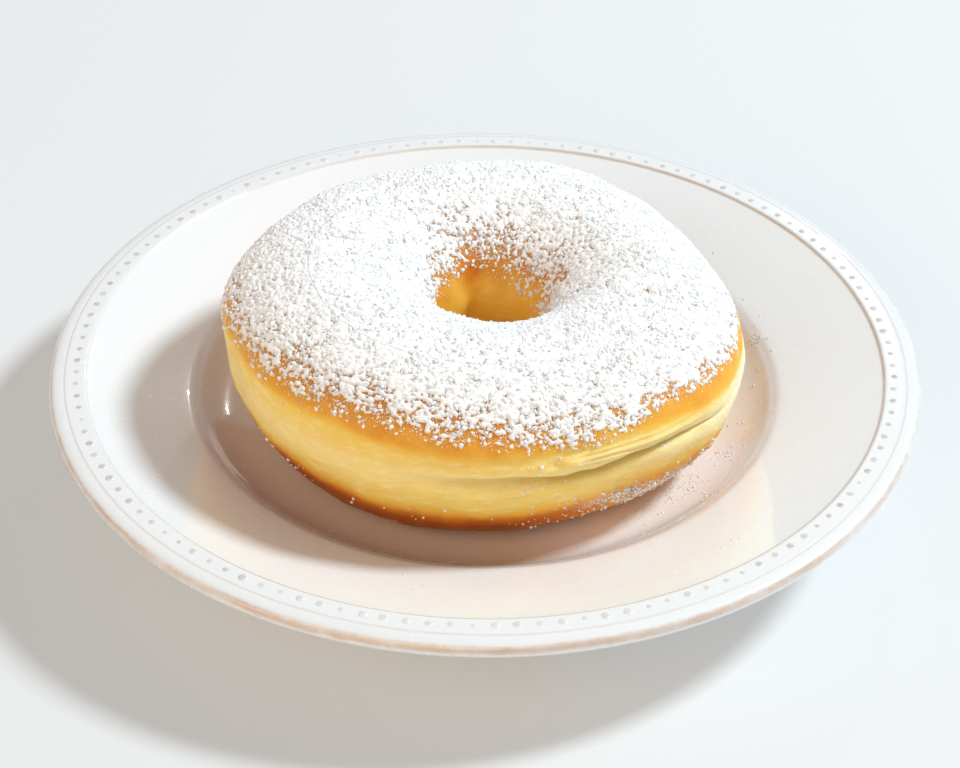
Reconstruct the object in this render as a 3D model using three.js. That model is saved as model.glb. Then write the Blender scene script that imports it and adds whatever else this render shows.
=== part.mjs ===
// A sugared ring doughnut on a small glazed side plate with a beaded rim.
// Millimetres, +Z up. The origin is on the table under the plate's centre, and -Y is the front.
import * as THREE from "three";

// ---- Plate: radii from its centre, heights from the table ----
const PLATE_RADIUS = 85;
const RIM_HEIGHT = 23; // the beaded band, the highest part of the rim
const RIDGE_RADIUS = 82.1; // outer edge of the beaded band
const BAND_RADIUS = 77.6; // inner edge of the beaded band
const BAND_STEP = 0.5; // the band stands this much above the rim inside it
const SHOULDER_RADIUS = 57.6; // where the rim turns down into the well
const SHOULDER_HEIGHT = 16.9;
const WELL_RADIUS = 46; // the flat floor of the well
const COVE_RADIUS = 52; // where the lines of the floor and of the well's wall would meet
const WELL_HEIGHT = 12.5;
const LIP_THICKNESS = 3.4;
const RIM_THICKNESS = 4.6;
const FOOT_OUTER_RADIUS = 54.5;
const FOOT_INNER_RADIUS = 50.5;
const FOOT_BEVEL = 0.7;
const RECESS_HEIGHT = 7.5; // underside of the well, inside the foot ring
const PLATE_SIDES = 72;
const CURVE_STEPS = 4;

// ---- Doughnut: an uneven ring, heights from its own flat base ----
const RING_CENTRE = [-0.2, -2.9];
const HOLE_SHIFT = [1, 2.5]; // how far the hole lies from the middle of the ring
const RING_RADIUS = 50; // mean outer radius at the widest level
// Each lobe of the outline: how many bulges go round, their share of the radius, their direction.
const LOBES = [
  [1, 0.029, -87],
  [2, 0.017, 75],
  [3, 0.025, 83],
  [4, 0.016, 70],
];
const BASE_SHARE = 0.86; // radius of the base, as a share of the outer radius
const CROWN_HEIGHT = 32.8;
const CROWN_TILT = 2.7; // the crown is this much higher on its high side
const CROWN_HIGH_SIDE = 216; // degrees
const WIDEST_SHARE = 0.6; // height of the widest level, as a share of the crown
const THROAT_RADIUS = 10;
const FUNNEL_WIDTH = 8; // how far the hole opens out towards the crown
const REST_GAP = 0.3; // between the base and the floor of the well
const RING_SIDES = 60;
const SECTION_STEPS = 28;

// ---- Icing sugar: a skin over the crown, from the outer shoulder to the throat ----
const SUGAR_GAP = 0.3;
const SUGAR_THICKNESS = 0.8;
const SUGAR_OUTER_KNOT = 6.3; // place along the section's control points
const SUGAR_INNER_KNOT = 10.9;
const SUGAR_STEPS = 10;

const radians = THREE.MathUtils.degToRad;

// The plate's section, from the middle of the well out over the rim and back underneath.
function plateGeometry() {
  const lipBottom = RIM_HEIGHT - LIP_THICKNESS;
  const lipMiddle = RIM_HEIGHT - LIP_THICKNESS / 2;
  const rimUnderside = SHOULDER_HEIGHT - RIM_THICKNESS;
  const outline = new THREE.Path();
  outline.moveTo(0, WELL_HEIGHT);
  outline.lineTo(WELL_RADIUS, WELL_HEIGHT);
  // The well's wall curves up to the shoulder, and the shoulder rounds over on to the sloping rim.
  outline.quadraticCurveTo(COVE_RADIUS, WELL_HEIGHT, SHOULDER_RADIUS - 1.6, SHOULDER_HEIGHT - 1);
  outline.quadraticCurveTo(SHOULDER_RADIUS, SHOULDER_HEIGHT, SHOULDER_RADIUS + 1, SHOULDER_HEIGHT + 0.3);
  outline.lineTo(BAND_RADIUS, RIM_HEIGHT - BAND_STEP);
  outline.lineTo(BAND_RADIUS + BAND_STEP, RIM_HEIGHT);
  outline.lineTo(RIDGE_RADIUS, RIM_HEIGHT);
  outline.quadraticCurveTo(PLATE_RADIUS, RIM_HEIGHT, PLATE_RADIUS, lipMiddle);
  outline.quadraticCurveTo(PLATE_RADIUS, lipBottom, PLATE_RADIUS - 2, lipBottom - 0.2);
  outline.lineTo(SHOULDER_RADIUS + 3, rimUnderside);
  outline.quadraticCurveTo(FOOT_OUTER_RADIUS + 1, RECESS_HEIGHT + 2, FOOT_OUTER_RADIUS, FOOT_BEVEL);
  outline.lineTo(FOOT_OUTER_RADIUS - FOOT_BEVEL, 0);
  outline.lineTo(FOOT_INNER_RADIUS + FOOT_BEVEL, 0);
  outline.lineTo(FOOT_INNER_RADIUS, FOOT_BEVEL);
  outline.lineTo(FOOT_INNER_RADIUS - RECESS_HEIGHT / 2, RECESS_HEIGHT);
  outline.lineTo(0, RECESS_HEIGHT);
  const fromBelow = outline.getPoints(CURVE_STEPS).reverse();
  return new THREE.LatheGeometry(fromBelow, PLATE_SIDES).rotateX(Math.PI / 2);
}

// The doughnut's section at one angle: a closed curve of radius from the hole's axis against height.
function doughnutSection(angle) {
  const lobed = LOBES.reduce(
    (sum, [count, share, direction]) => sum + share * Math.cos(count * (angle - radians(direction))),
    1,
  );
  const outer = RING_RADIUS * lobed;
  const base = outer * BASE_SHARE;
  const crown = CROWN_HEIGHT + CROWN_TILT * Math.cos(angle - radians(CROWN_HIGH_SIDE));
  const widest = crown * WIDEST_SHARE;
  const mouth = THROAT_RADIUS + FUNNEL_WIDTH;
  const knots = [
    [THROAT_RADIUS + 8, 0], // flat base
    [(THROAT_RADIUS + base) / 2 + 1, 0],
    [base - 6, 0],
    [base - 1.2, 2.6], // lower edge
    [base + 0.55 * (outer - base), widest / 2],
    [outer, widest],
    [outer - 1.6, (widest + crown) / 2],
    [outer - 6.5, crown - 2.6], // shoulder
    [outer - 16, crown], // crown
    [mouth + 6, crown - 1],
    [mouth - 2, crown - 5.5], // funnel
    [THROAT_RADIUS + 0.6, 0.58 * crown], // throat
    [THROAT_RADIUS + 0.8, 0.26 * crown],
    [THROAT_RADIUS + 3.5, 2.2],
  ];
  const points = knots.map(([radius, height]) => new THREE.Vector3(radius, 0, height));
  const curve = new THREE.CatmullRomCurve3(points, true, "centripetal");
  return { curve, outer, knotCount: knots.length };
}

// Points along the section at one angle, placed on the plate, from one control point to another.
// A positive lift moves them off the crust.
function sectionPoints(angle, firstKnot, lastKnot, steps, lift) {
  const { curve, outer, knotCount } = doughnutSection(angle);
  const points = [];
  for (let i = 0; i <= steps; i += 1) {
    const knot = firstKnot + ((lastKnot - firstKnot) * i) / steps;
    const place = knot / knotCount;
    const onCrust = curve.getPoint(place);
    const along = curve.getTangent(place);
    const radius = onCrust.x + lift * along.z;
    const height = Math.max(0, onCrust.z) - lift * along.x;
    const inward = THREE.MathUtils.clamp((outer - radius) / (outer - THROAT_RADIUS), 0, 1);
    const x = RING_CENTRE[0] + HOLE_SHIFT[0] * inward + radius * Math.cos(angle);
    const y = RING_CENTRE[1] + HOLE_SHIFT[1] * inward + radius * Math.sin(angle);
    points.push(new THREE.Vector3(x, y, WELL_HEIGHT + REST_GAP + height));
  }
  return points;
}

// A closed ring skinned through one closed loop of points at each angle.
function ringGeometry(loopAt) {
  const loops = [];
  for (let i = 0; i < RING_SIDES; i += 1) loops.push(loopAt((2 * Math.PI * i) / RING_SIDES));
  const count = loops[0].length;
  const positions = loops.flat().flatMap((point) => point.toArray());
  const indices = [];
  for (let i = 0; i < RING_SIDES; i += 1) {
    const here = i * count;
    const next = ((i + 1) % RING_SIDES) * count;
    for (let j = 0; j < count; j += 1) {
      const k = (j + 1) % count;
      indices.push(here + j, next + j, next + k);
      indices.push(here + j, next + k, here + k);
    }
  }
  const geometry = new THREE.BufferGeometry();
  geometry.setAttribute("position", new THREE.Float32BufferAttribute(positions, 3));
  geometry.setIndex(indices);
  geometry.computeVertexNormals();
  return geometry;
}

function doughnutLoop(angle) {
  const knotCount = doughnutSection(angle).knotCount;
  return sectionPoints(angle, 0, knotCount, SECTION_STEPS, 0).slice(0, -1);
}

function sugarLoop(angle) {
  const top = SUGAR_GAP + SUGAR_THICKNESS;
  const outside = sectionPoints(angle, SUGAR_OUTER_KNOT, SUGAR_INNER_KNOT, SUGAR_STEPS, top);
  const underside = sectionPoints(angle, SUGAR_OUTER_KNOT, SUGAR_INNER_KNOT, SUGAR_STEPS, SUGAR_GAP);
  return [...outside, ...underside.reverse()];
}

function piece(name, geometry, color, roughness) {
  const material = new THREE.MeshStandardMaterial({ color, roughness, metalness: 0 });
  const mesh = new THREE.Mesh(geometry, material);
  mesh.name = name;
  return mesh;
}

const doughnutOnPlate = new THREE.Group();
doughnutOnPlate.add(piece("plate", plateGeometry(), 0xf2f0ec, 0.12));
doughnutOnPlate.add(piece("doughnut", ringGeometry(doughnutLoop), 0xd9973f, 0.55));
doughnutOnPlate.add(piece("icing_sugar", ringGeometry(sugarLoop), 0xf7f7f7, 0.95));

export default doughnutOnPlate;
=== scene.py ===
import math

import bpy
import numpy as np
from mathutils import Matrix, Vector


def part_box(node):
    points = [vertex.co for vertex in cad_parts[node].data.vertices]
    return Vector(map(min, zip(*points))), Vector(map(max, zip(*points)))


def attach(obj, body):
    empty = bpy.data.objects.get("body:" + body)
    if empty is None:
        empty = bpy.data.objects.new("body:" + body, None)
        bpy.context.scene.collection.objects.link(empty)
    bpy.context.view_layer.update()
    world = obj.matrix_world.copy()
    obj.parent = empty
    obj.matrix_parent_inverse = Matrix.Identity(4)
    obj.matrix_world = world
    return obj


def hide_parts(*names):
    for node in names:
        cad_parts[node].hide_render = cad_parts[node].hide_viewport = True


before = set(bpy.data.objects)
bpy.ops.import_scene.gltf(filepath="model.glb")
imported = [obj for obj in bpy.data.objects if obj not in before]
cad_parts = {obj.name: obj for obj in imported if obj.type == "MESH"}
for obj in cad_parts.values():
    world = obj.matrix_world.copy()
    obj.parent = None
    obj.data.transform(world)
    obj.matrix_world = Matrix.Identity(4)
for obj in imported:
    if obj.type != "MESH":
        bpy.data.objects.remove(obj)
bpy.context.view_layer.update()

# ---- Table, light and camera ----
# A plain white table top that passes a little light from below, in a white room. A small cool key
# light stands to the right and a little behind, with warm cards opposite it and a narrow lamp at
# the back.
scene = bpy.context.scene
scene.view_settings.view_transform = "Standard"


def add_node(tree, kind, inputs=None, **settings):
    """A node with its settings and its inputs, which are values or the outputs of other nodes."""
    new = tree.nodes.new(kind)
    for key, value in settings.items():
        setattr(new, key, value)
    for key, value in (inputs or {}).items():
        if isinstance(value, bpy.types.NodeSocket):
            tree.links.new(value, new.inputs[key])
        else:
            new.inputs[key].default_value = value
    return new


def new_material(name, **constants):
    """A material with its own Principled shader, whose constant inputs are set on the shader."""
    made = bpy.data.materials.new(name)
    made.use_nodes = True
    shader = made.node_tree.nodes["Principled BSDF"]
    for key, value in constants.items():
        shader.inputs[key.replace("_", " ")].default_value = value
    return made, made.node_tree, shader


def new_piece(name, vertices, faces, material, smooth=True, **attributes):
    """A mesh object at the origin, with float attributes at its vertices."""
    mesh = bpy.data.meshes.new(name)
    mesh.from_pydata(vertices, [], faces)
    for key, values in attributes.items():
        store = mesh.attributes.new(key, "FLOAT", "POINT")
        store.data.foreach_set("value", np.asarray(values, np.float32).ravel())
    if smooth:
        mesh.shade_smooth()
    if material:
        mesh.materials.append(material)
    made = bpy.data.objects.new(name, mesh)
    scene.collection.objects.link(made)
    return made


table_white, tree, shader = new_material(
    "table_white", Roughness=0.6, Emission_Color=(0.90, 0.97, 1.0, 1), Emission_Strength=0.17,
)
place = add_node(tree, "ShaderNodeTexCoord").outputs["Object"]
mottle = add_node(tree, "ShaderNodeTexNoise", {"Vector": place, "Scale": 9.0, "Detail": 3.0})
tone = add_node(
    tree, "ShaderNodeMapRange", {"Value": mottle.outputs["Fac"], "To Min": 0.605, "To Max": 0.62},
)
tree.links.new(tone.outputs[0], shader.inputs["Base Color"])
TABLE_HALF = 6  # metres
corners = [(x * TABLE_HALF, y * TABLE_HALF, 0) for x, y in ((-1, -1), (1, -1), (1, 1), (-1, 1))]
table_top = new_piece("table_top", corners, [(0, 1, 2, 3)], table_white, smooth=False)

scene.world = bpy.data.worlds.new("white_room")
scene.world.use_nodes = True
room = scene.world.node_tree.nodes["Background"]
room.inputs["Color"].default_value = (0.99, 0.975, 1.0, 1)
room.inputs["Strength"].default_value = 0.38


LIGHT_TARGET_HEIGHT = 0.02  # metres, about the middle of the doughnut


def add_light(name, azimuth, elevation, distance, size, watts, color):
    """A disc of light that looks at the doughnut from a direction given in degrees."""
    lamp = bpy.data.lights.new(name, "AREA")
    lamp.shape = "DISK"
    lamp.size, lamp.energy, lamp.color = size, watts, color
    made = bpy.data.objects.new(name, lamp)
    scene.collection.objects.link(made)
    turn, lift = math.radians(azimuth), math.radians(elevation)
    reach = math.cos(lift)
    towards = Vector((math.cos(turn) * reach, math.sin(turn) * reach, math.sin(lift)))
    made.location = towards * distance + Vector((0, 0, LIGHT_TARGET_HEIGHT))
    made.rotation_euler = towards.to_track_quat("Z", "Y").to_euler()


# Name, azimuth and elevation in degrees, distance and size in metres, watts, colour.
add_light("key_light", 18, 45.5, 2.2, 0.40, 48.0, (0.81, 0.93, 1.0))
add_light("warm_card", -118, 27, 2.0, 2.2, 15.5, (1.0, 0.69, 0.34))
add_light("left_card", -160, 22, 2.0, 1.3, 4.1, (1.0, 0.88, 0.77))
add_light("back_lamp", 76, 30, 1.6, 0.04, 0.6, (1.0, 0.98, 0.95))

CAMERA_PITCH = math.radians(36.671)
CAMERA_ROLL = math.radians(0.352)
lens = bpy.data.cameras.new("camera")
lens.sensor_width = 36
lens.lens = 92.2
lens.clip_start = 0.01
camera = bpy.data.objects.new("camera", lens)
scene.collection.objects.link(camera)
camera.location = (-0.001, -0.3914, 0.3064)
aim = Matrix.Rotation(math.pi / 2 - CAMERA_PITCH, 3, "X") @ Matrix.Rotation(CAMERA_ROLL, 3, "Z")
camera.rotation_euler = aim.to_euler()
scene.camera = camera

# ---- Plate ----
# A small side plate pressed from stoneware and covered in a white glossy glaze. The glaze runs
# thin over its edges, so the lip, the band's step and the well's shoulder show brown.
MM = 0.001
RIM_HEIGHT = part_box("plate")[1].z / MM
PLATE_SIDES = 400


def bend(start, control, end, steps=10):
    """Points along a parabola, without its first."""
    t = np.linspace(0, 1, steps + 1)[1:, None]
    start, control, end = np.array(start), np.array(control), np.array(end)
    return ((1 - t) ** 2 * start + 2 * t * (1 - t) * control + t**2 * end).tolist()


top_line = [(0, 8), (12, 8), (24, 8), (36, 8), (44, 8), (46, 8)]
top_line += bend((46, 8), (52, 8), (56, 11.4), 16)
top_line += bend((56, 11.4), (57.6, 12.4), (58.6, 12.7), 8)
top_line += [(60, 13.09), (64, 14.2), (70, 15.87), (75, 17.27), (77.2, 17.89)]
top_line += bend((77.2, 17.89), (77.6, 18.0), (77.75, 18.2), 4)
top_line += bend((77.75, 18.2), (77.95, 18.48), (78.3, 18.5), 4)
top_line += [(78.8, 18.5), (80.8, 18.5), (81.5, 18.5)]
top_line += bend((81.5, 18.5), (81.9, 18.5), (82.1, 18.36), 4)
top_line += bend((82.1, 18.36), (82.3, 18.46), (82.7, 18.4), 4)
lip_line = bend((82.7, 18.4), (85, 18.2), (85, 16.8), 14)
lip_line += bend((85, 16.8), (85, 15.1), (83, 14.9), 12)
under_line = [(82, 14.56), (76, 12.64), (68, 10.08), (61.6, 8.03)]
under_line += bend((61.6, 8.03), (55.6, 5.4), (54.6, -1.5), 14)
# The profile above is drawn for a rim 18.5 mm high, and the real one stands higher on its foot.
DRAWN_RIM_HEIGHT = 18.5
RAISED = RIM_HEIGHT - DRAWN_RIM_HEIGHT
top_line, lip_line, under_line = (
    [(r, z + RAISED) for r, z in line] for line in (top_line, lip_line, under_line)
)
under_line += bend(under_line[-1], (54.5, 1.8), (54.5, 0.9), 4)
under_line += bend((54.5, 0.9), (54.4, 0.05), (53.6, 0), 5)
under_line += [(52.5, 0), (51.4, 0)] + bend((51.4, 0), (50.6, 0.05), (50.4, 0.8), 5)
under_line += [(48.6, 4.2), (47.4, 6.6)] + bend((47.4, 6.6), (46.9, 7.5), (45.8, 7.5), 5)
under_line += [(42, 7.5), (30, 7.5), (15, 7.5), (0, 7.5)]


def revolved(profile, sides):
    """Vertices and faces of a closed profile, from the axis outwards and back, turned round it."""
    turns = np.arange(sides) * 2 * np.pi / sides
    rings = np.array(profile[1:-1]) * MM
    x, y = np.outer(rings[:, 0], np.cos(turns)), np.outer(rings[:, 0], np.sin(turns))
    outline = np.stack([x, y, np.repeat(rings[:, 1:], sides, 1)], -1).reshape(-1, 3)
    vertices = [(0, 0, profile[0][1] * MM), *outline.tolist(), (0, 0, profile[-1][1] * MM)]
    last = len(vertices) - 1
    faces = [(0, 1 + j, 1 + (j + 1) % sides) for j in range(sides)]
    for i in range(len(rings) - 1):
        a, b = 1 + i * sides, 1 + (i + 1) * sides
        faces += [(a + j, b + j, b + (j + 1) % sides, a + (j + 1) % sides) for j in range(sides)]
    a = 1 + (len(rings) - 1) * sides
    faces += [(a + j, last, a + (j + 1) % sides) for j in range(sides)]
    return vertices, faces


def calculate(tree, operation, a, b=0.0, c=0.0):
    """One step of arithmetic on numbers or outputs."""
    return add_node(tree, "ShaderNodeMath", {0: a, 1: b, 2: c}, operation=operation).outputs[0]


def times(tree, a, b):
    """The product of two numbers or outputs."""
    return calculate(tree, "MULTIPLY", a, b)


def plus(tree, a, b):
    """The sum of two numbers or outputs."""
    return calculate(tree, "ADD", a, b)


def ramp_between(tree, value, low, high, start=0.0, end=1.0):
    """A smooth rise from start to end as the value goes from low to high."""
    inputs = {"Value": value, "From Min": low, "From Max": high, "To Min": start, "To Max": end}
    return add_node(tree, "ShaderNodeMapRange", inputs, interpolation_type="SMOOTHSTEP").outputs[0]


def noise(tree, vector, scale, detail=2.0, roughness=0.5):
    """Cloudy noise, from 0 to 1; the scale is swings in a metre."""
    inputs = {"Vector": vector, "Scale": scale, "Detail": detail, "Roughness": roughness}
    return add_node(tree, "ShaderNodeTexNoise", inputs).outputs["Fac"]


def tinted(tree, amount, under, over):
    """One colour painted over another, by an amount from 0 to 1."""
    inputs = {0: amount, 6: under, 7: over}
    return add_node(tree, "ShaderNodeMix", inputs, data_type="RGBA").outputs[2]


GLAZE_WHITE = (0.872, 0.876, 0.885, 1)
GLAZE_COOL = (0.845, 0.86, 0.87, 1)
GLAZE_THIN = (0.50, 0.31, 0.20, 1)

white_glaze, tree, shader = new_material(
    "white_glaze", Roughness=0.28, IOR=1.55, Coat_Weight=1.0, Coat_Roughness=0.03, Coat_IOR=1.62,
)
place = add_node(tree, "ShaderNodeTexCoord").outputs["Object"]
axes = add_node(tree, "ShaderNodeSeparateXYZ", {0: place}).outputs
flat = add_node(tree, "ShaderNodeCombineXYZ", {0: axes[0], 1: axes[1]}).outputs[0]
radius = add_node(tree, "ShaderNodeVectorMath", {0: flat}, operation="LENGTH").outputs["Value"]
radius = times(tree, radius, 1000.0)
height = times(tree, axes[2], 1000.0)
drift = noise(tree, place, 55.0, 3.0)
broken = noise(tree, place, 420.0, 4.0, 0.62)
# How far towards +X and a little towards +Y, where the thin glaze of the step is darkest.
side = plus(tree, times(tree, axes[0], 9.0), times(tree, axes[1], 6.0))
# The radius, shifted a little at random, so that the brown lines waver.
wobble = plus(tree, radius, calculate(tree, "MULTIPLY_ADD", broken, 0.5, -0.25))


def hairline(middle, half_width, soft):
    """A fine line round the plate at one radius."""
    away = calculate(tree, "ABSOLUTE", calculate(tree, "SUBTRACT", wobble, middle))
    return ramp_between(tree, away, half_width, half_width + soft, 1.0, 0.0)


# Lines where the glaze breaks: the band's step, its outer ridge and the well's shoulder.
above = ramp_between(tree, height, RIM_HEIGHT - 9.5, RIM_HEIGHT - 7.5)
step_line = times(tree, hairline(77.9, 0.12, 0.42), ramp_between(tree, side, -0.7, 0.8, 0.16, 0.5))
step_line = times(tree, step_line, ramp_between(tree, drift, 0.3, 0.65, 0.5, 1.0))
ridge_line = times(tree, hairline(82.1, 0.05, 0.4), 0.22)
shoulder_line = times(
    tree, hairline(57.3, 0.1, 0.7), ramp_between(tree, drift, 0.35, 0.7, 0.05, 0.32),
)
lines = calculate(
    tree, "MAXIMUM", step_line, calculate(tree, "MAXIMUM", ridge_line, shoulder_line),
)
lines = times(tree, lines, above)
# The rolled lip, brown in patches round its outside, down to about its widest level.
lip_edge = calculate(tree, "MULTIPLY_ADD", broken, 0.7, 83.8)
lip_edge = calculate(tree, "MULTIPLY_ADD", drift, 0.9, lip_edge)
over_edge = ramp_between(tree, calculate(tree, "SUBTRACT", radius, lip_edge), -0.5, 0.25)
low_edge = calculate(tree, "MULTIPLY_ADD", broken, 0.9, RIM_HEIGHT - 1.35)
low_edge = calculate(tree, "MULTIPLY_ADD", drift, -1.6, low_edge)
over_low = ramp_between(tree, calculate(tree, "SUBTRACT", height, low_edge), -0.6, 0.3)
over_edge = times(tree, over_edge, over_low)
patchy = ramp_between(tree, noise(tree, place, 130.0, 5.0, 0.6), 0.32, 0.62, 0.3, 0.8)
lip_band = times(tree, over_edge, patchy)
thin_glaze = calculate(tree, "MAXIMUM", lines, lip_band)

# The glaze lies thick on the band and the rolled edge, which are a little bluer than the rest.
base = tinted(tree, ramp_between(tree, radius, 77.0, 79.0), GLAZE_WHITE, GLAZE_COOL)
mottle = ramp_between(tree, noise(tree, place, 30.0, 4.0), 0.35, 0.8, 0.0, 0.2)
base = tinted(tree, mottle, base, (0.865, 0.85, 0.83, 1))
# Painted warm light: an amber tint stands in for the doughnut's warm bounce and the shade in the
# well, kept off the front right, where the key light falls. It goes by height alone, so the
# plate's underside gets it too.
FRONT_RIGHT = (669.0, -743.0, 0.0)  # a direction 1000 long, which turns metres into millimetres
inputs = {0: flat, 1: FRONT_RIGHT}
aside = add_node(tree, "ShaderNodeVectorMath", inputs, operation="DOT_PRODUCT").outputs["Value"]
aside = calculate(tree, "DIVIDE", aside, calculate(tree, "MAXIMUM", radius, 1.0))
aside = ramp_between(tree, aside, 0.80, 0.94, 1.0, 0.0)
low_down = ramp_between(tree, height, RIM_HEIGHT - 8.2, RIM_HEIGHT - 6.2, 0.6, 0.0)
painted_warm_bounce = times(tree, aside, ramp_between(tree, drift, 0.25, 0.6, 0.75, 1.0))
painted_warm_bounce = times(tree, painted_warm_bounce, low_down)
# Painted warm bounce and shade, in amber.
base = tinted(tree, painted_warm_bounce, base, (0.87, 0.68, 0.43, 1))
brown = tinted(tree, noise(tree, place, 260.0, 3.0), GLAZE_THIN, (0.74, 0.55, 0.44, 1))
base = tinted(tree, thin_glaze, base, brown)
specks = add_node(
    tree, "ShaderNodeTexVoronoi", {"Vector": place, "Scale": 190.0},
).outputs["Distance"]
base = tinted(
    tree, ramp_between(tree, specks, 0.015, 0.028, 0.25, 0.0), base, (0.42, 0.33, 0.27, 1),
)
# The foot ring is wiped clean before firing, so its bare clay shows.
at_foot = ramp_between(tree, height, 0.35, 0.7, 1.0, 0.0)
bare = times(tree, at_foot, ramp_between(tree, radius, 50.0, 50.6))
clay = tinted(tree, noise(tree, place, 900.0, 4.0), (0.58, 0.50, 0.40, 1), (0.72, 0.64, 0.53, 1))
base = tinted(tree, bare, base, clay)
tree.links.new(base, shader.inputs["Base Color"])
gloss = ramp_between(tree, noise(tree, place, 700.0, 3.0), 0.3, 0.8, 0.16, 0.3)
gloss = calculate(tree, "MAXIMUM", gloss, times(tree, bare, 0.85))
tree.links.new(gloss, shader.inputs["Roughness"])
gritty = times(tree, bare, noise(tree, place, 2600.0, 3.0))
relief = plus(tree, noise(tree, place, 70.0), times(tree, gritty, 0.8))
uneven = add_node(
    tree, "ShaderNodeBump", {"Strength": 0.35, "Distance": 0.00035, "Height": relief},
)
tree.links.new(uneven.outputs[0], shader.inputs["Normal"])
tree.links.new(uneven.outputs[0], shader.inputs["Coat Normal"])

plate = new_piece(
    "plate_glazed", *revolved(top_line + lip_line + under_line, PLATE_SIDES), white_glaze,
)
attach(plate, "root")
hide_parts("plate")

# ---- Beads of the rim ----
# A ring of 130 small raised beads, pressed into the band with the plate itself, and glazed over.
# The glaze runs off each bead's top, so its clay shows through as a soft brown spot.
BEADS = 130
BEAD_RING = 79.7  # radius of the ring, in millimetres
BEAD_WIDTH = 1.75
BEAD_STANDING = 0.2  # height above the band, in millimetres

bead_glaze, tree, shader = new_material(
    "bead_glaze", Roughness=0.3, IOR=1.45, Coat_Weight=0.2, Coat_Roughness=0.05, Coat_IOR=1.52,
)
place = add_node(tree, "ShaderNodeTexCoord").outputs["Object"]
top = add_node(tree, "ShaderNodeAttribute", attribute_name="bead_top").outputs["Fac"]
wear = add_node(tree, "ShaderNodeAttribute", attribute_name="bead_wear").outputs["Fac"]
axes = add_node(tree, "ShaderNodeSeparateXYZ", {0: place}).outputs
# The spots are strongest at the left and the right of the ring.
strong = calculate(tree, "ABSOLUTE", calculate(tree, "MULTIPLY_ADD", axes[0], 12.5, 0.05))
strong = ramp_between(tree, strong, 0.1, 0.9, 0.4, 0.75)
blurred = calculate(tree, "MULTIPLY_ADD", noise(tree, place, 900.0, 3.0), 0.5, -0.25)
spot = ramp_between(tree, plus(tree, top, blurred), 0.2, 1.1)
spot = times(tree, spot, times(tree, wear, strong))
worn = tinted(tree, noise(tree, place, 200.0), (0.40, 0.22, 0.16, 1), (0.46, 0.34, 0.28, 1))
tree.links.new(tinted(tree, spot, GLAZE_COOL, worn), shader.inputs["Base Color"])


def new_tree(name, sockets):
    """A geometry node tree with named inputs, given as (name, kind, value)."""
    made = bpy.data.node_groups.new(name, "GeometryNodeTree")
    made.interface.new_socket("Geometry", in_out="INPUT", socket_type="NodeSocketGeometry")
    made.interface.new_socket("Geometry", in_out="OUTPUT", socket_type="NodeSocketGeometry")
    for label, kind, value in sockets:
        socket = made.interface.new_socket(label, in_out="INPUT", socket_type="NodeSocket" + kind)
        socket.default_value = value
    return made, made.nodes.new("NodeGroupInput").outputs, made.nodes.new("NodeGroupOutput").inputs


def keep(tree, geometry, name, value, domain="POINT", data_type="FLOAT"):
    """Stores a named attribute on the geometry."""
    inputs = {"Geometry": geometry, "Name": name, "Value": value}
    return add_node(
        tree, "GeometryNodeStoreNamedAttribute", inputs, data_type=data_type, domain=domain,
    ).outputs[0]


def grown(name, carrier, tree, **values):
    """The plain mesh that a tree makes on a carrier, whose own object goes."""
    live = carrier.modifiers.new(name, "NODES")
    live.node_group = tree
    for item in tree.interface.items_tree:
        key = item.name.replace(" ", "_").lower()
        if item.in_out == "INPUT" and key in values:
            live[item.identifier] = values[key]
    depsgraph = bpy.context.evaluated_depsgraph_get()
    evaluated = carrier.evaluated_get(depsgraph)
    mesh = bpy.data.meshes.new_from_object(
        evaluated, preserve_all_data_layers=True, depsgraph=depsgraph
    )
    carrier.modifiers.remove(live)
    bpy.data.objects.remove(carrier)
    mesh.name = name
    made = bpy.data.objects.new(name, mesh)
    scene.collection.objects.link(made)
    return made


def random_vector(tree, low, high, seed):
    """A random vector for each point, between two vectors."""
    inputs = {"Min": low, "Max": high, "Seed": seed}
    return add_node(tree, "FunctionNodeRandomValue", inputs, data_type="FLOAT_VECTOR").outputs[0]


def random_number(tree, low, high, seed):
    """A random number for each point, between two numbers."""
    inputs = {2: low, 3: high, "Seed": seed}
    return add_node(tree, "FunctionNodeRandomValue", inputs, data_type="FLOAT").outputs[1]


def scaled(tree, vector, by):
    """A vector times a number."""
    inputs = {0: vector, "Scale": by}
    return add_node(tree, "ShaderNodeVectorMath", inputs, operation="SCALE").outputs[0]


def moved(tree, geometry, offset):
    """Geometry moved by an offset."""
    inputs = {"Geometry": geometry, "Offset": offset}
    return add_node(tree, "GeometryNodeSetPosition", inputs).outputs[0]


def finish_tree(tree, instances, material, result):
    """Makes the instances real, smooth and of one material, and hands them on."""
    solid = add_node(tree, "GeometryNodeRealizeInstances", {0: instances}).outputs[0]
    solid = add_node(tree, "GeometryNodeSetShadeSmooth", {0: solid}).outputs[0]
    inputs = {"Geometry": solid, "Material": material}
    solid = add_node(tree, "GeometryNodeSetMaterial", inputs).outputs[0]
    tree.links.new(solid, result[0])


BEAD_JITTER = 0.00012  # metres
bead_tree, given, result = new_tree(
    "bead_ring",
    [
        ("Beads", "Int", 130), ("Ring Radius", "Float", 0.08), ("Ring Height", "Float", 0.018),
        ("Bead Width", "Float", 0.002), ("Bead Standing", "Float", 0.0003), ("Seed", "Int", 5),
    ],
)
inputs = {"Vertices": given["Beads"], "Radius": given["Ring Radius"]}
circle = add_node(bead_tree, "GeometryNodeMeshCircle", inputs).outputs[0]
lift = add_node(bead_tree, "ShaderNodeCombineXYZ", {"Z": given["Ring Height"]}).outputs[0]
circle = moved(bead_tree, circle, lift)
uneven = random_vector(
    bead_tree, (-BEAD_JITTER,) * 3, (BEAD_JITTER, BEAD_JITTER, 0), given["Seed"],
)
circle = moved(bead_tree, circle, uneven)
inputs = {"Segments": 12, "Rings": 7, "Radius": 0.5}
ball = add_node(bead_tree, "GeometryNodeMeshUVSphere", inputs).outputs[0]
spot_at = add_node(bead_tree, "GeometryNodeInputPosition").outputs[0]
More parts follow.
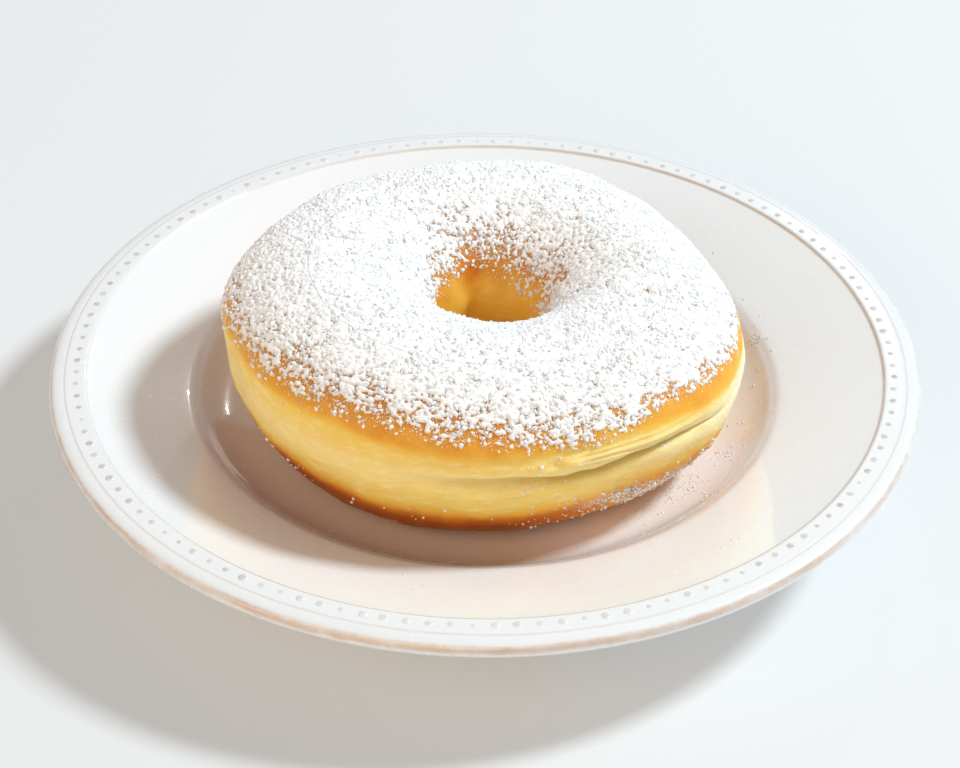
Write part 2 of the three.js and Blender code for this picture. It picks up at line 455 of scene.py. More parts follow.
upward = add_node(bead_tree, "ShaderNodeSeparateXYZ", {0: spot_at}).outputs[2]
ball = keep(bead_tree, ball, "bead_top", times(bead_tree, upward, 2.0))
tall = times(bead_tree, given["Bead Standing"], 2.0)
inputs = {0: given["Bead Width"], 1: given["Bead Width"], 2: tall}
size = add_node(bead_tree, "ShaderNodeCombineXYZ", inputs).outputs[0]
size = scaled(bead_tree, size, random_number(bead_tree, 0.88, 1.1, given["Seed"]))
inputs = {"Points": circle, "Instance": ball, "Scale": size}
placed = add_node(bead_tree, "GeometryNodeInstanceOnPoints", inputs).outputs[0]
wear = random_number(bead_tree, 0.6, 1.0, plus(bead_tree, given["Seed"], 7.0))
placed = keep(bead_tree, placed, "bead_wear", wear, "INSTANCE")
finish_tree(bead_tree, placed, bead_glaze, result)

carrier = new_piece("bead_carrier", [(0, 0, 0)], [], None, smooth=False)
rim_beads = grown(
    "rim_beads", carrier, bead_tree, beads=BEADS, ring_radius=BEAD_RING * MM,
    ring_height=(RIM_HEIGHT - 0.04) * MM, bead_width=BEAD_WIDTH * MM,
    bead_standing=BEAD_STANDING * MM, seed=5,
)
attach(rim_beads, "root")

# ---- Doughnut ----
# A yeast-raised ring, fried on one side and then the other: a golden crust above, a dark one
# below, and between them the pale belt that stayed above the fat. A fold runs round its front
# right side.
REST_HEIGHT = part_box("doughnut")[0].z / MM - 0.25  # lower than in the CAD, almost on the well
RING_CENTRE = (-0.2, -2.9)
HOLE_SHIFT = (1.0, 2.5)
RING_RADIUS = 50.0
BASE_SHARE = 0.86  # radius of the base, as a share of the outer radius
CROWN_HEIGHT = 32.8
CROWN_TILT = 2.7  # the crown is this much higher on its high side
CROWN_HIGH_SIDE = 216  # degrees
WIDEST_SHARE = 0.6  # height of the widest level, as a share of the crown
THROAT_RADIUS = 10.0
FUNNEL_WIDTH = 8.0  # how far the hole opens out towards the crown
# Each lobe of the outline: how many bulges go round, their share of the radius, their direction.
LOBES = ((1, 0.029, -87), (2, 0.017, 75), (3, 0.025, 83), (4, 0.016, 70))


def ring_section(angle):
    """The section's control points at each angle, as (distance from the hole's axis, height)."""
    lobed = sum(
        share * np.cos(count * (angle - math.radians(turn))) for count, share, turn in LOBES
    )
    outer = RING_RADIUS * (1 + lobed)
    one = np.ones_like(outer)
    base, mouth = outer * BASE_SHARE, THROAT_RADIUS + FUNNEL_WIDTH
    crown = CROWN_HEIGHT + CROWN_TILT * np.cos(angle - math.radians(CROWN_HIGH_SIDE))
    widest = WIDEST_SHARE * crown
    knots = [
        ((THROAT_RADIUS + 8) * one, 0 * one),  # flat base
        ((THROAT_RADIUS + base) / 2 + 1, 0 * one),
        (base - 6, 0 * one),
        (base - 1.2, 2.6 * one),  # lower edge
        (base + 0.55 * (outer - base), widest / 2),
        (outer, widest),
        (outer - 1.6, (widest + crown) / 2),
        (outer - 6.5, crown - 2.6),  # shoulder
        (outer - 16, crown),  # crown
        ((mouth + 6) * one, crown - 1),
        ((mouth - 2) * one, crown - 5.5),  # funnel
        ((THROAT_RADIUS + 0.6) * one, 0.58 * crown),  # throat
        ((THROAT_RADIUS + 0.8) * one, 0.26 * crown),
        ((THROAT_RADIUS + 3.5) * one, 2.2 * one),
    ]
    return np.stack([np.stack(knot, -1) for knot in knots], -2), outer


def on_crust(angle, knot, lift=0.0):
    """Points on the crust, in millimetres, by angle round the ring and place along its section."""
    angle, knot = np.broadcast_arrays(np.asarray(angle, float), np.asarray(knot, float))
    section, outer = ring_section(angle)
    count = section.shape[-2]
    first = np.floor(knot).astype(int)
    w = (knot - first)[..., None]

    def control(step):
        return np.take_along_axis(
            section, ((first + step) % count)[..., None, None], -2,
        )[..., 0, :]

    def gap(a, b):
        return np.sqrt(np.linalg.norm(a - b, axis=-1, keepdims=True))

    a, b, c, d = control(-1), control(0), control(1), control(2)
    before, here, after = gap(a, b), gap(b, c), gap(c, d)
    leave = ((b - a) / before - (c - a) / (before + here) + (c - b) / here) * here
    arrive = ((c - b) / here - (d - b) / (here + after) + (d - c) / after) * here
    square, cube = 3 * (c - b) - 2 * leave - arrive, 2 * (b - c) + leave + arrive
    spot = b + leave * w + square * w**2 + cube * w**3
    along = leave + 2 * square * w + 3 * cube * w**2
    along = along / np.linalg.norm(along, axis=-1, keepdims=True)
    r = spot[..., 0] + lift * along[..., 1]
    h = np.maximum(0, spot[..., 1]) - lift * along[..., 0]
    inward = np.clip((outer - r) / (outer - THROAT_RADIUS), 0, 1)
    x = RING_CENTRE[0] + HOLE_SHIFT[0] * inward + r * np.cos(angle)
    y = RING_CENTRE[1] + HOLE_SHIFT[1] * inward + r * np.sin(angle)
    return np.stack([x, y, REST_HEIGHT + h], -1)


def scatter_value(cells, seed):
    """A fixed random number from 0 to 1 for each whole-number cell."""
    n = cells[..., 0] * 374761393 + cells[..., 1] * 668265263
    n = n + cells[..., 2] * 1440662683 + seed * 974634777
    n = (n ^ (n >> 13)) * 1274126177
    n = n & 0x7FFFFFFF
    n = (n ^ (n >> 15)) * 2246822519
    return ((n ^ (n >> 13)) & 0xFFFFFF) / float(0xFFFFFF)


def lumps(points, size, seed):
    """Smooth random heights from -1 to 1, about one swing for each size in millimetres."""
    cell = np.floor(points / size).astype(np.int64)
    f = points / size - cell
    f = f * f * (3 - 2 * f)
    total = 0
    for corner in np.ndindex(2, 2, 2):
        weight = np.prod(np.where(np.array(corner), f, 1 - f), -1)
        total = total + weight * scatter_value(cell + np.array(corner), seed)
    return total * 2 - 1


def along_ring(degrees, table, wrap=True):
    """A value that changes round the ring, from a table of (degrees, value)."""
    turns, values = np.array(table, float).T
    return np.interp(
        degrees, turns, values, period=360,
    ) if wrap else np.interp(degrees, turns, values)


def swelling(d, width):
    """A smooth hump of height 1, by distance from its middle."""
    return np.exp(-((d / width) ** 2))


def rise(value, start, width):
    """A straight rise from 0 at the start to 1 at a width past it."""
    return np.clip((value - start) / width, 0, 1)


def fall(value, end, width):
    """A straight fall from 1 to 0 at the end, over a width before it."""
    return np.clip((end - value) / width, 0, 1)


def plus_minus_180(angle):
    """An angle in radians as degrees from -180 to 180."""
    return (np.degrees(angle) + 180) % 360 - 180


# By degrees round the ring: where the golden crust ends, where the dark one begins, where the
# sugar ends and where the fold runs, as places along the section; and how deep the fold is, in
# millimetres.
CRUST_END = (
    (-173, 5.55), (-158, 5.75), (-130, 5.8), (-115, 5.82), (-98, 5.6), (-83, 5.62), (-72, 5.74),
    (-56, 5.8), (-40, 5.6), (-24, 5.55), (20, 5.7), (80, 5.65), (140, 5.7),
)
DARK_BEGIN = (
    (-173, 4.6), (-152, 4.6), (-131, 4.5), (-116, 4.3), (-99, 4.2), (-82, 4.15), (-69, 4.42),
    (-56, 4.7), (-40, 4.75), (-27, 4.75), (30, 4.5), (90, 4.4), (150, 4.55),
)
SUGAR_END = (
    (-173, 5.55), (-156, 5.9), (-141, 6.0), (-131, 6.05), (-118, 6.22), (-107, 6.2), (-99, 6.08),
    (-87, 5.95), (-76, 5.8), (-66, 5.75), (-53, 6.15), (-41, 6.28), (-18, 6.02), (0, 5.9),
    (60, 5.75), (120, 5.8), (160, 5.65),
)
FOLD_PLACE = (
    (-100, 5.0), (-88, 4.97), (-80, 4.94), (-74, 4.9), (-68, 4.94), (-62, 5.0), (-57, 5.08),
    (-50, 5.14), (-43, 5.12), (-35, 5.08), (-24, 5.05),
)
FOLD_DEPTH = (
    (-106, 0), (-100, 0.4), (-92, 0.95), (-84, 1.1), (-77, 1.4), (-68, 2.0), (-54, 1.9),
    (-44, 1.3), (-34, 0.6), (-25, 0),
)


def crust_relief(angle, knot):
    """How far the real crust stands out from the plain ring, in millimetres."""
    degrees = plus_minus_180(angle)
    spots = on_crust(angle, knot)
    upper = rise(knot, 2.4, 0.8) * fall(knot, 13.9, 0.6)
    out = 0.55 * lumps(spots, 15, 1) + 0.28 * lumps(spots, 6.5, 2) + 0.10 * lumps(spots, 2.8, 3)
    out = out * upper
    # The belt: torn, stretched dough, wrinkled lengthwise.
    belt = swelling(knot - 5.1, 0.62)
    stretched = spots * np.array([0.30, 0.30, 1.0])
    out += belt * (0.16 * lumps(stretched, 1.5, 4) + 0.09 * lumps(stretched, 0.75, 5))
    past_crust = np.tanh((knot - along_ring(degrees, CRUST_END)) / 0.07)
    out += 0.16 * past_crust * swelling(knot - 5.7, 0.5)
    # The fold, its overhanging upper lip and the roll below it.
    depth = along_ring(degrees, FOLD_DEPTH, wrap=False)
    d = knot - along_ring(degrees, FOLD_PLACE, wrap=False) - 0.03 * lumps(spots, 3.0, 6)
    narrow = 0.05 + 0.10 * fall(degrees, -74, 14)
    hollow = -swelling(d, narrow) - 0.35 * swelling(d - 0.05, 0.22)
    out += depth * (hollow + 0.42 * swelling(d - 0.33, 0.2) + 0.22 * swelling(d + 0.28, 0.2))
    # The pulled skin above it: a knob at its left end, from which thin ridges fan out.
    fan = rise(degrees, -73, 4) * fall(degrees, -38, 12)
    ridges = ((0.50, 0.0005, 0.30), (0.42, -0.0035, 0.26), (0.60, 0.004, 0.2), (0.34, -0.006, 0.2))
    for lift_off, slope, high in ridges:
        line = 4.95 + lift_off + slope * (degrees + 72) + 0.012 * lumps(spots, 2.2, 7)
        out += fan * high * (
            swelling(knot - line, 0.035) - 0.5 * swelling(knot - line + 0.06, 0.04)
        )
    out += swelling(degrees + 71.8, 2.0) * swelling(knot - 5.42, 0.13)
    out -= 0.5 * swelling(degrees + 75.5, 1.6) * swelling(knot - 5.36, 0.12)
    # The dark lower edge is rough and crumbly on the right, where sugar has stuck to it.
    ledge = rise(degrees, -76, 14) * fall(degrees, -12, 14) * swelling(knot - 3.95, 0.5)
    out += ledge * (0.55 * lumps(spots, 1.9, 8) + 0.35 * lumps(spots, 1.0, 9) + 0.35)
    out += 0.10 * lumps(spots, 1.3, 10) * swelling(knot - 3.7, 0.5)
    # A cleft down the hole's far wall.
    cleft = ((9.6, 100), (10.25, 105.5), (10.8, 110), (11.45, 112.5), (12.4, 116))
    bent = along_ring(knot, cleft, wrap=False) + 5.0 * lumps(spots, 4.0, 14)
    out -= 0.9 * swelling(degrees - bent, 15.0) * swelling(knot - 10.8, 0.9)
    out += 0.5 * swelling(degrees - bent - 24, 12.0) * swelling(knot - 11.0, 0.8)
    out += 0.4 * swelling(degrees - bent + 40, 22.0) * swelling(knot - 11.3, 0.8)
    out += 0.35 * lumps(spots, 5.0, 15) * swelling(knot - 11.2, 1.0)
    # A dent in the left flank under the crust's edge, and a bulge above it.
    out -= 1.2 * swelling(degrees + 162, 11.0) * swelling(knot - 5.1, 0.35)
    out += 0.8 * swelling((degrees - 8) % 360 - 180, 16.0) * swelling(knot - 5.95, 0.4)
    return out


def skin(angle, knot, lift=0.0):
    """Points over the real crust, in metres."""
    return on_crust(angle, knot, crust_relief(angle, knot) + lift) * MM


def ring_faces(turns, loop):
    """Quads of a closed ring of closed loops, facing out."""
    i, k = np.meshgrid(np.arange(turns), np.arange(loop), indexing="ij")
    i2, k2 = (i + 1) % turns, (k + 1) % loop
    corners = [i * loop + k, i2 * loop + k, i2 * loop + k2, i * loop + k2]
    return np.stack(corners, -1).reshape(-1, 4).tolist()


RING_TURNS = 430
# Steps along the section, closest where the belt and the fold are: (first, last, number).
RING_STEPS = ((0, 3, 12), (3, 6.4, 112), (6.4, 9.6, 32), (9.6, 12.6, 32), (12.6, 14, 8))
ring_knots = np.concatenate([np.linspace(*step, endpoint=False) for step in RING_STEPS])
angles = (np.arange(RING_TURNS) * 2 * np.pi / RING_TURNS)[:, None]
degrees = plus_minus_180(angles)
knots = ring_knots[None, :]
spots = skin(angles, knots)
in_mm = spots / MM


def eased(t):
    """A smooth start and end for a value from 0 to 1."""
    return t * t * (3 - 2 * t)


# Baked colour, from 0 for pale dough to 1 for the darkest crust.
crust_end = along_ring(degrees, CRUST_END) + 0.05 * lumps(in_mm, 5, 11)
dark_begin = along_ring(degrees, DARK_BEGIN) + 0.06 * lumps(in_mm, 6, 12)
gold = eased(rise(knots, crust_end - 0.20, 0.42))
top_bake = 0.35 * gold + 0.20 * rise(knots, crust_end + 0.15, 1.0)
dark = eased(fall(knots, dark_begin + 0.22, 0.95))
dark = dark * (1 - 0.52 * rise(degrees, -84, 24) * fall(degrees, 15, 30))
hole_bake = 0.20 + 0.07 * lumps(in_mm, 4, 13)
hole_bake = hole_bake + 0.16 * swelling(knots - 12.6, 0.6) + 0.26 * swelling(knots - 10.3, 0.5)
hole_bake = hole_bake + 0.14 * swelling(degrees - 150, 34)
hole_bake = hole_bake + 0.16 * swelling(degrees - 108, 9) * swelling(knots - 10.8, 0.6)
in_hole = rise(knots, 9.9, 0.7)
bake = top_bake * (1 - in_hole) + hole_bake * in_hole
bake = np.maximum(bake, dark * fall(knots, 6.0, 0.5))
bake = np.maximum(bake, 0.9 * rise(knots, 13.2, 0.6))

# Painted shade where the fold is deep; where the dough is creamiest, with a painted highlight on
# its right side, where the key light falls; and where the pulled skin fans out.
fold_middle = along_ring(degrees, FOLD_PLACE, wrap=False) + 0.02
fold = along_ring(degrees, FOLD_DEPTH, wrap=False) * swelling(knots - fold_middle, 0.12)
# Painted highlight: a cream tint on the right side, where the key light falls, over the belt's own
# cream all round.
creamy = swelling(degrees + 2, 34) * swelling(knots - 5.1, 0.8)
creamy = creamy + 0.30 * swelling(knots - 5.05, 0.35)
pulled = rise(degrees, -76, 5) * fall(degrees, -40, 12) * swelling(knots - 5.38, 0.22)

# Where fine sugar powders the crust: past the sugar's edge, in the hole, and on the lower edge.
powder = 0.9 * rise(knots, along_ring(degrees, SUGAR_END) - 0.3, 1.3) * fall(knots, 11.0, 1.0)
in_mouth = swelling(degrees - 2, 45) * rise(knots, 9.5, 0.5) * fall(knots, 12.4, 0.8)
on_low_edge = 0.95 * rise(degrees, -80, 14) * fall(degrees, -8, 14) * swelling(knots - 3.95, 0.5)
dust = np.maximum(np.maximum(powder, in_mouth), on_low_edge)

fried_dough, tree, shader = new_material(
    "fried_dough", IOR=1.45, Subsurface_Weight=0.35, Subsurface_Radius=(1.0, 0.42, 0.16),
    Subsurface_Scale=0.004, Specular_IOR_Level=0.22,
)
place = add_node(tree, "ShaderNodeTexCoord").outputs["Object"]


def value_of(name):
    """A value stored on the mesh."""
    return add_node(tree, "ShaderNodeAttribute", attribute_name=name).outputs["Fac"]


baked = value_of("bake")
cloud = noise(tree, place, 260.0, 5.0, 0.6)
pores = noise(tree, place, 1900.0, 3.0, 0.6)
lengthwise = add_node(
    tree, "ShaderNodeMapping", {"Vector": place, "Scale": (330.0, 330.0, 900.0)},
).outputs[0]
strands = noise(tree, lengthwise, 1.0, 5.0, 0.62)
patch = calculate(tree, "MULTIPLY_ADD", cloud, 0.26, -0.13)
patch = times(tree, patch, ramp_between(tree, baked, 0.05, 0.4, 0.25, 1.0))
shade = plus(tree, baked, patch)
shade = plus(tree, shade, calculate(tree, "MULTIPLY_ADD", pores, 0.10, -0.05))
browning = add_node(tree, "ShaderNodeValToRGB", {"Fac": shade})
stops = browning.color_ramp.elements
stops[0].position, stops[0].color = 0.0, (0.94, 0.67, 0.165, 1)
stops[1].position, stops[1].color = 1.0, (0.35, 0.075, 0.006, 1)
for at, color in (
    (0.10, (0.93, 0.61, 0.12, 1)),
    (0.26, (0.91, 0.52, 0.075, 1)),
    (0.42, (0.83, 0.37, 0.042, 1)),
    (0.58, (0.68, 0.22, 0.018, 1)),
    (0.78, (0.54, 0.13, 0.006, 1)),
):
    stops.new(at).color = color
pale = ramp_between(tree, shade, 0.05, 0.3, 1.0, 0.0)
color = browning.outputs["Color"]
creamy_dough = times(tree, value_of("creamy"), pale)
for amount, share, tint in (
    (pale, ramp_between(tree, strands, 0.46, 0.68, 0.0, 0.6), (0.96, 0.80, 0.36, 1)),
    (pale, ramp_between(tree, strands, 0.44, 0.28, 0.0, 0.35), (0.90, 0.52, 0.06, 1)),
    # Painted shade: an olive tint deep in the fold.
    (value_of("fold"), 0.75, (0.60, 0.45, 0.05, 1)),
    (value_of("pulled"), 0.6, (0.82, 0.66, 0.28, 1)),
    # The belt's cream, with a painted highlight on the right side.
    (creamy_dough, 0.8, (0.97, 0.88, 0.66, 1)),
):
    color = tinted(tree, times(tree, amount, share), color, tint)
grit = noise(tree, place, 2600.0, 4.0, 0.7)
dusty = value_of("dust")
powdered = plus(tree, calculate(tree, "MULTIPLY_ADD", dusty, 0.45, -0.42), grit)
powdered = ramp_between(tree, powdered, 0.42, 0.62, 0.0, 0.8)
powdered = times(tree, powdered, ramp_between(tree, dusty, 0.02, 0.2))
color = tinted(tree, powdered, color, (0.93, 0.88, 0.84, 1))
tree.links.new(color, shader.inputs["Base Color"])
oily = ramp_between(tree, cloud, 0.3, 0.7, 0.40, 0.56)
oily = plus(tree, oily, times(tree, powdered, 0.4))
tree.links.new(oily, shader.inputs["Roughness"])
fibre = times(tree, strands, calculate(tree, "MULTIPLY_ADD", pale, 1.1, 0.15))
surface = plus(tree, fibre, times(tree, pores, 0.35))
surface = plus(tree, surface, times(tree, cloud, 0.6))
surface = plus(tree, surface, times(tree, powdered, 0.5))
grain = add_node(tree, "ShaderNodeBump", {"Strength": 0.55, "Distance": 0.0004, "Height": surface})
tree.links.new(grain.outputs[0], shader.inputs["Normal"])

doughnut = new_piece(
    "doughnut_crust", spots.reshape(-1, 3).tolist(), ring_faces(RING_TURNS, len(ring_knots)),
    fried_dough, bake=bake, fold=np.clip(fold, 0, 1), pulled=pulled, creamy=np.clip(creamy, 0, 1),
    dust=dust,
)
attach(doughnut, "root")
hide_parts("doughnut")

# ---- Icing sugar: the bed ----
# Finely ground sugar, sieved over the crown as a thin lumpy bed that breaks into separate clumps
# towards its edges. Two closed rings, on the outer and the inner half of the crown, meet along its
# top.
BED_DEPTH = 0.62  # how high the tallest lumps stand on the crust, in millimetres
SUGAR_TURNS = 820
SEAM_KNOT = 8.0  # place along the section where the two rings meet
BELOW_CRUST = 0.9  # how deep in the crust the rings' undersides lie, in millimetres
outer_knots = np.concatenate([
    np.linspace(5.3, 5.6, 3, endpoint=False), np.linspace(5.6, SEAM_KNOT, 109),
])
inner_knots = np.concatenate([
    np.linspace(SEAM_KNOT, 9.2, 34, endpoint=False), np.linspace(9.2, 11.3, 78),
])
# By degrees round the ring: over how much of the section the sugar thins out towards its outer
# edge, and where it starts to thin out and where it ends in the hole.
FADE_WIDTH = (
    (-175, 2.0), (-140, 2.1), (-110, 1.9), (-80, 1.6), (-60, 1.3), (-40, 1.0), (-20, 0.9),
    (40, 0.8), (140, 1.0), (160, 1.6),
)
THIN_FROM = (
    (-170, 10.2), (-90, 10.3), (-20, 9.4), (5, 9.0), (30, 8.6), (85, 8.5), (107, 8.6), (125, 9.0),
    (155, 9.5),
)
BARE_FROM = (
    (-170, 11.15), (-90, 11.2), (-20, 11.2), (5, 11.15), (30, 11.1), (54, 11.0), (85, 10.75),
    (98, 10.6), (107, 10.45), (118, 10.75), (137, 11.0), (160, 11.1),
)


def sugar_cover(angle, knot, spots):
    """How thickly the sugar lies, from 1 on the crown to 0 past its edges."""
    degrees = plus_minus_180(angle)
    ragged = 0.08 * lumps(spots, 4.0, 21) + 0.05 * lumps(spots, 1.8, 22)
    end = along_ring(degrees, SUGAR_END) + ragged - 0.08
    outside = rise(knot, end, along_ring(degrees, FADE_WIDTH))
    bare_from, thin_from = along_ring(degrees, BARE_FROM), along_ring(degrees, THIN_FROM)
    inside = fall(knot, bare_from + ragged, bare_from - thin_from)
    thinner = 0.10 * lumps(spots, 9.0, 23) + 0.08 * lumps(spots, 4.0, 24)
    amount = np.minimum(outside, inside)
    return np.clip(amount + 2.0 * thinner * amount, 0, 1)


def clumps(points, size, seed):
    """Rounded lumps with creases between them, from 0 in a crease to 1 on top."""
    cell = np.floor(points / size).astype(np.int64)
    nearest = np.full(points.shape[:-1], 9.0)
    for corner in np.ndindex(3, 3, 3):
        other = cell + np.array(corner) - 1
        middle = np.stack([scatter_value(other, seed + axis) for axis in range(3)], -1) + other
        nearest = np.minimum(nearest, ((points / size - middle) ** 2).sum(-1))
    return np.clip(1 - nearest / 0.8, 0, 1)


angles = (np.arange(SUGAR_TURNS) * 2 * np.pi / SUGAR_TURNS)[:, None]
knots = np.concatenate([outer_knots, inner_knots[1:]])[None, :]
plain = on_crust(angles, knots)
cover = sugar_cover(angles, knots, plain)
covered = 0.985 * (1 - (1 - cover) ** 2.0)
rough = 0.55 * clumps(plain, 1.15, 31) + 0.55 * clumps(plain, 0.75, 41)
rough = rough + 0.18 * lumps(plain, 2.6, 51) + 0.16 * lumps(plain, 0.5, 52)
# The lumps are ranked from 0 to 1, so that only the tallest stand clear where little sugar fell.
rank = np.empty(rough.size)
rank[rough.ravel().argsort()] = np.linspace(0, 1, rough.size)
clear = rank.reshape(rough.shape) - (1 - covered)
standing = 0.10 + BED_DEPTH * (1 - 0.25 * cover) * np.clip(clear, 0, 1) ** 0.8
sunken = np.maximum(3.0 * clear, -0.35) - 0.05
bed = np.where(clear > 0, standing, sunken)
bed = np.where(cover <= 0, -0.5, bed)
bed[:, [0, -1]] = -0.5
seam = len(outer_knots) - 1


def bed_ring(name, first, last):
    """One closed ring of the bed, between two places along the section."""
    top_side = skin(angles, knots[:, first : last + 1], bed[:, first : last + 1])
    below = knots[:, first : last + 1][:, ::-1][:, :: (last - first) // 3]
    shape = np.concatenate([top_side, skin(angles, below, -BELOW_CRUST)], 1)
    faces = ring_faces(SUGAR_TURNS, shape.shape[1])
    made = new_piece(name, shape.reshape(-1, 3).tolist(), faces, powder_sugar)
    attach(made, "root")
    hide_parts("icing_sugar")


powder_sugar, tree, shader = new_material(
    "powder_sugar", Roughness=0.85, IOR=1.4, Subsurface_Weight=0.3, Specular_IOR_Level=0.3,
    Subsurface_Radius=(1.0, 0.95, 0.9), Subsurface_Scale=0.0006,
)
place = add_node(tree, "ShaderNodeTexCoord").outputs["Object"]
fine = noise(tree, place, 2400.0, 4.0, 0.7)
coarse = noise(tree, place, 700.0, 3.0, 0.6)
color = tinted(
    tree, ramp_between(tree, coarse, 0.3, 0.7), (0.90, 0.895, 0.90, 1), (0.955, 0.955, 0.955, 1),
)
# Painted shade: fine grey-brown specks stand in for the shade in the tiny pits between grains.
color = tinted(tree, ramp_between(tree, fine, 0.64, 0.76, 0.0, 0.25), color, (0.68, 0.60, 0.57, 1))
tree.links.new(color, shader.inputs["Base Color"])
surface = plus(tree, times(tree, fine, 0.6), coarse)
grain = add_node(tree, "ShaderNodeBump", {"Strength": 0.6, "Distance": 0.00015, "Height": surface})
tree.links.new(grain.outputs[0], shader.inputs["Normal"])

bed_ring("icing_sugar_outer_bed", 0, seam)
bed_ring("icing_sugar_inner_bed", seam, knots.shape[1] - 1)

# ---- Icing sugar: the grains ----
# Loose grains and small clumps of the same sugar, lying on the bed and alone on the crust past it.
GRAIN_SIZE_SPREAD = 2.2  # a power: the higher it is, the fewer large grains there are
WHOLE_TURN = 6.283  # radians

grain_sockets = [("Smallest", "Float", 0.0002), ("Largest", "Float", 0.0005), ("Seed", "Int", 1)]
grain_tree, given, result = new_tree(
    "sugar_grains", [("Grains", "Float", 1e6), *grain_sockets, ("Roundness", "Int", 3)]
)


def random_grains(tree, given, points, crumb, low, high, most_turned, seeds):
    """Grains on points, most of them near the smallest size, each with its own shape and turn."""
    size_seed, shape_seed, turn_seed = (plus(tree, given["Seed"], seed) for seed in seeds)
    chance = random_number(tree, 0.0, 1.0, size_seed)
    chance = calculate(tree, "POWER", chance, GRAIN_SIZE_SPREAD)
    span = calculate(tree, "SUBTRACT", given["Largest"], given["Smallest"])
    size = calculate(tree, "MULTIPLY_ADD", chance, span, given["Smallest"])
    shape = scaled(tree, random_vector(tree, low, high, shape_seed), size)
    turned = random_vector(tree, (0, 0, 0), most_turned, turn_seed)
    turned = add_node(tree, "FunctionNodeEulerToRotation", {0: turned}).outputs[0]
    inputs = {"Points": points, "Instance": crumb, "Rotation": turned, "Scale": shape}
    return add_node(tree, "GeometryNodeInstanceOnPoints", inputs).outputs[0]


inputs = {"Name": "sugar"}
share = add_node(
    grain_tree, "GeometryNodeInputNamedAttribute", inputs, data_type="FLOAT",
).outputs[0]
thick = times(grain_tree, given["Grains"], share)
inputs = {"Mesh": given["Geometry"], "Density": thick, "Seed": given["Seed"]}
spread = add_node(grain_tree, "GeometryNodeDistributePointsOnFaces", inputs).outputs["Points"]
segments = plus(grain_tree, given["Roundness"], 1.0)
inputs = {"Segments": segments, "Rings": given["Roundness"], "Radius": 1.0}
crumb = add_node(grain_tree, "GeometryNodeMeshUVSphere", inputs).outputs[0]
at = add_node(grain_tree, "GeometryNodeInputPosition").outputs[0]
inputs = {"Vector": at, "Scale": 1.3, "Detail": 1.0}
dented = add_node(grain_tree, "ShaderNodeTexNoise", inputs).outputs["Color"]
inputs = {0: dented, 1: (0.5, 0.5, 0.5)}
dented = add_node(grain_tree, "ShaderNodeVectorMath", inputs, operation="SUBTRACT").outputs[0]
crumb = moved(grain_tree, crumb, scaled(grain_tree, dented, 1.5))
placed = random_grains(
    grain_tree, given, spread, crumb, (0.7, 0.7, 0.6), (1.25, 1.25, 1.0), (WHOLE_TURN,) * 3,
    (11.0, 23.0, 37.0),
)
finish_tree(grain_tree, placed, powder_sugar, result)


def crown_carrier(name, knots, sugar_at, lift_at):
    """A sheet over the crust for the grains to land on, which knows how much sugar falls where."""
    turns = 360
    loop = len(knots)
    angles = (np.arange(turns) * 2 * np.pi / turns)[:, None]
    plain = on_crust(angles, knots[None, :])
    amount = sugar_at(angles, knots[None, :], plain)
    spots = skin(angles, knots[None, :], lift_at(amount))
    faces = [face for k, face in enumerate(ring_faces(turns, loop)) if k % loop != loop - 1]
    return new_piece(name, spots.reshape(-1, 3).tolist(), faces, None, sugar=amount)


def crown_share(angle, knot, spots):
    """How many grains fall on the crown, as a share of the most."""
    cover = sugar_cover(angle, knot, spots)
    return np.where(cover > 0, 0.10 + 0.90 * (1 - (1 - cover) ** 2.0), 0.0)


def crown_lift(amount):
    """How far above the crust the grains lie, in millimetres: on the bed where it is thick."""
    return 0.03 + 0.42 * np.clip(amount - 0.5, 0, 1)


over_crown = np.linspace(5.5, 11.25, 90)
for name, grains_per_mm2, smallest, largest, roundness, seed in (
    ("icing_sugar_fine_1", 2.0, 0.13, 0.26, 2, 101),
    ("icing_sugar_fine_2", 2.0, 0.13, 0.26, 2, 102),
    ("icing_sugar_fine_3", 2.0, 0.14, 0.30, 2, 103),
    ("icing_sugar_clumps_1", 0.85, 0.24, 0.62, 3, 104),
    ("icing_sugar_clumps_2", 0.85, 0.24, 0.62, 3, 105),
):
    carrier = crown_carrier("crown_carrier", over_crown, crown_share, crown_lift)
    layer = grown(
        name, carrier, grain_tree, grains=grains_per_mm2 / MM**2, smallest=smallest * MM,
        largest=largest * MM, roundness=roundness, seed=seed,
    )
    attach(layer, "root")

# ---- Sugar stuck to the lower edge ----
# Sugar from the plate clings to the dark, damp lower edge, thickest on the right, and a few grains
# lie on the belt and on the fold's lower lip.
low_knots = np.linspace(3.0, 6.3, 70)


def edge_share(angle, knot, spots):
    """How many grains cling to the lower edge and the belt, as a share of the most."""
    degrees = plus_minus_180(angle)
    heavy = rise(degrees, -82, 16) * fall(degrees, -2, 18)
    patches = np.clip(0.5 + 1.3 * lumps(spots, 4.5, 61), 0, 1)
    band = swelling(knot - 3.75, 0.42)
    below_fold = knot - along_ring(degrees, FOLD_PLACE, wrap=False) + 0.10
    fold_lip = rise(degrees, -84, 5) * fall(degrees, -44, 10) * swelling(below_fold, 0.07)
    knob = swelling(degrees + 77.5, 4) * swelling(knot - 5.4, 0.2)
    share = band * (0.06 + 0.94 * heavy) * (0.25 + patches)
    return np.clip(share + 0.30 * fold_lip * patches + 0.35 * knob + 0.0015, 0, 1)


carrier = crown_carrier("edge_carrier", low_knots, edge_share, lambda amount: 0.04)
edge_sugar = grown(
    "edge_sugar", carrier, grain_tree, grains=2.3e6, smallest=0.16 * MM, largest=0.46 * MM,
    roundness=3, seed=201,
)
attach(edge_sugar, "root")
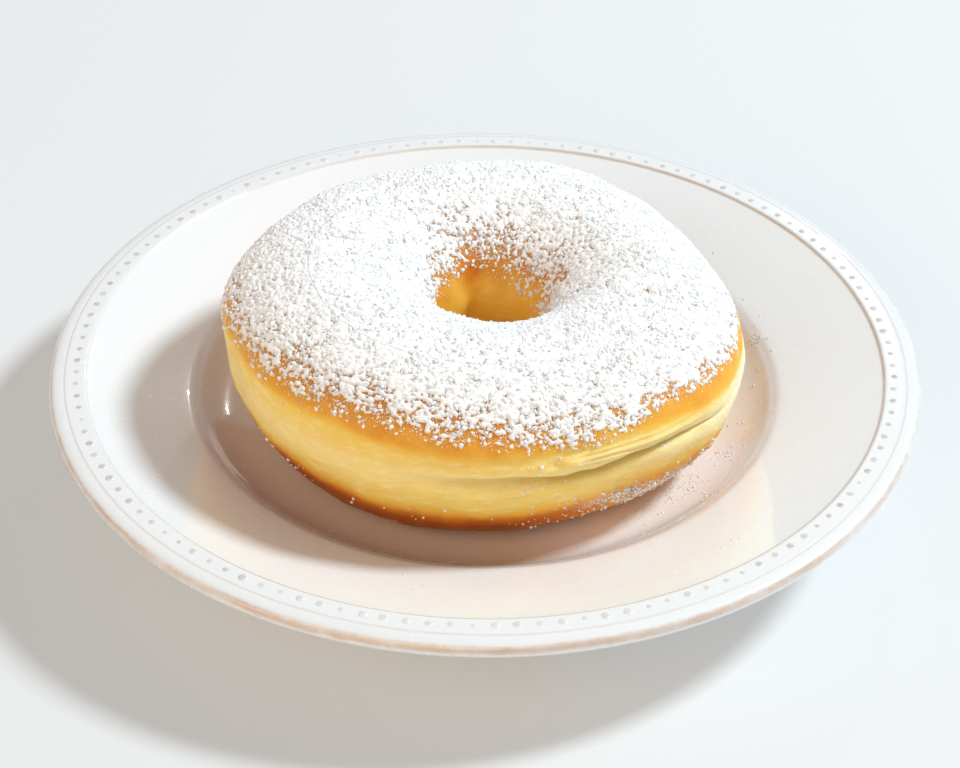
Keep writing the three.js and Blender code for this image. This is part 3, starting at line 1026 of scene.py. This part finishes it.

# ---- Sugar spilt on the plate ----
# Grains that fell past the doughnut: drifts beside its right flank, specks over the well and the
# rim. Flattened crumbs of the same sugar, placed at random round twenty listed middles.

# Middle x and y, spread in millimetres, and number of grains.
SPILLS = (
    (55.0, 13.4, 1.2, 45), (55.5, 9.0, 2.5, 10), (55.0, 22.0, 4.0, 5), (53.5, 0.0, 3.0, 8),
    (50.5, -10.0, 2.0, 18), (46.0, -19.0, 2.0, 45), (38.5, -28.0, 1.8, 70), (34.0, -32.0, 1.4, 55),
    (30.0, -35.5, 2.6, 30), (24.0, -40.5, 2.4, 14), (41.5, -34.0, 2.0, 16), (31.0, -42.0, 2.4, 9),
    (14.0, -46.5, 2.4, 5), (-21.2, -60.6, 1.2, 10), (-13.0, -63.0, 1.5, 7), (43.4, -54.4, 1.4, 7),
    (-30.0, -45.0, 5.0, 3), (12.0, 52.0, 7.0, 5), (-42.0, 36.0, 6.0, 3), (42.0, 42.0, 6.0, 4),
)
random_spill = np.random.default_rng(77)
fallen = np.concatenate(
    [random_spill.normal((x, y), spread, (number, 2)) for x, y, spread, number in SPILLS]
)
fallen_r = np.hypot(fallen[:, 0], fallen[:, 1])
on_rim = fallen_r < 77  # inside the beaded band
fallen, fallen_r = fallen[on_rim], fallen_r[on_rim]
profile_r, profile_z = np.array(top_line).T
fallen_z = np.interp(fallen_r, profile_r, profile_z) + 0.04
resting = np.stack([fallen[:, 0], fallen[:, 1], fallen_z], -1) * MM

spill_tree, given, result = new_tree("spilt_grains", grain_sockets)
inputs = {"Radius": 1.0, "Subdivisions": 1}
crumb = add_node(spill_tree, "GeometryNodeMeshIcoSphere", inputs).outputs[0]
placed = random_grains(
    spill_tree, given, given["Geometry"], crumb, (0.8, 0.8, 0.22), (1.5, 1.5, 0.42),
    (0.2, 0.2, WHOLE_TURN), (0.0, 5.0, 9.0),
)
finish_tree(spill_tree, placed, powder_sugar, result)

carrier = new_piece("spill_carrier", resting.tolist(), [], None, smooth=False)
spilt_sugar = grown(
    "spilt_sugar", carrier, spill_tree, smallest=0.08 * MM, largest=0.26 * MM, seed=301
)
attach(spilt_sugar, "root")

# ---- The scene brought up to date ----
bpy.context.view_layer.update()
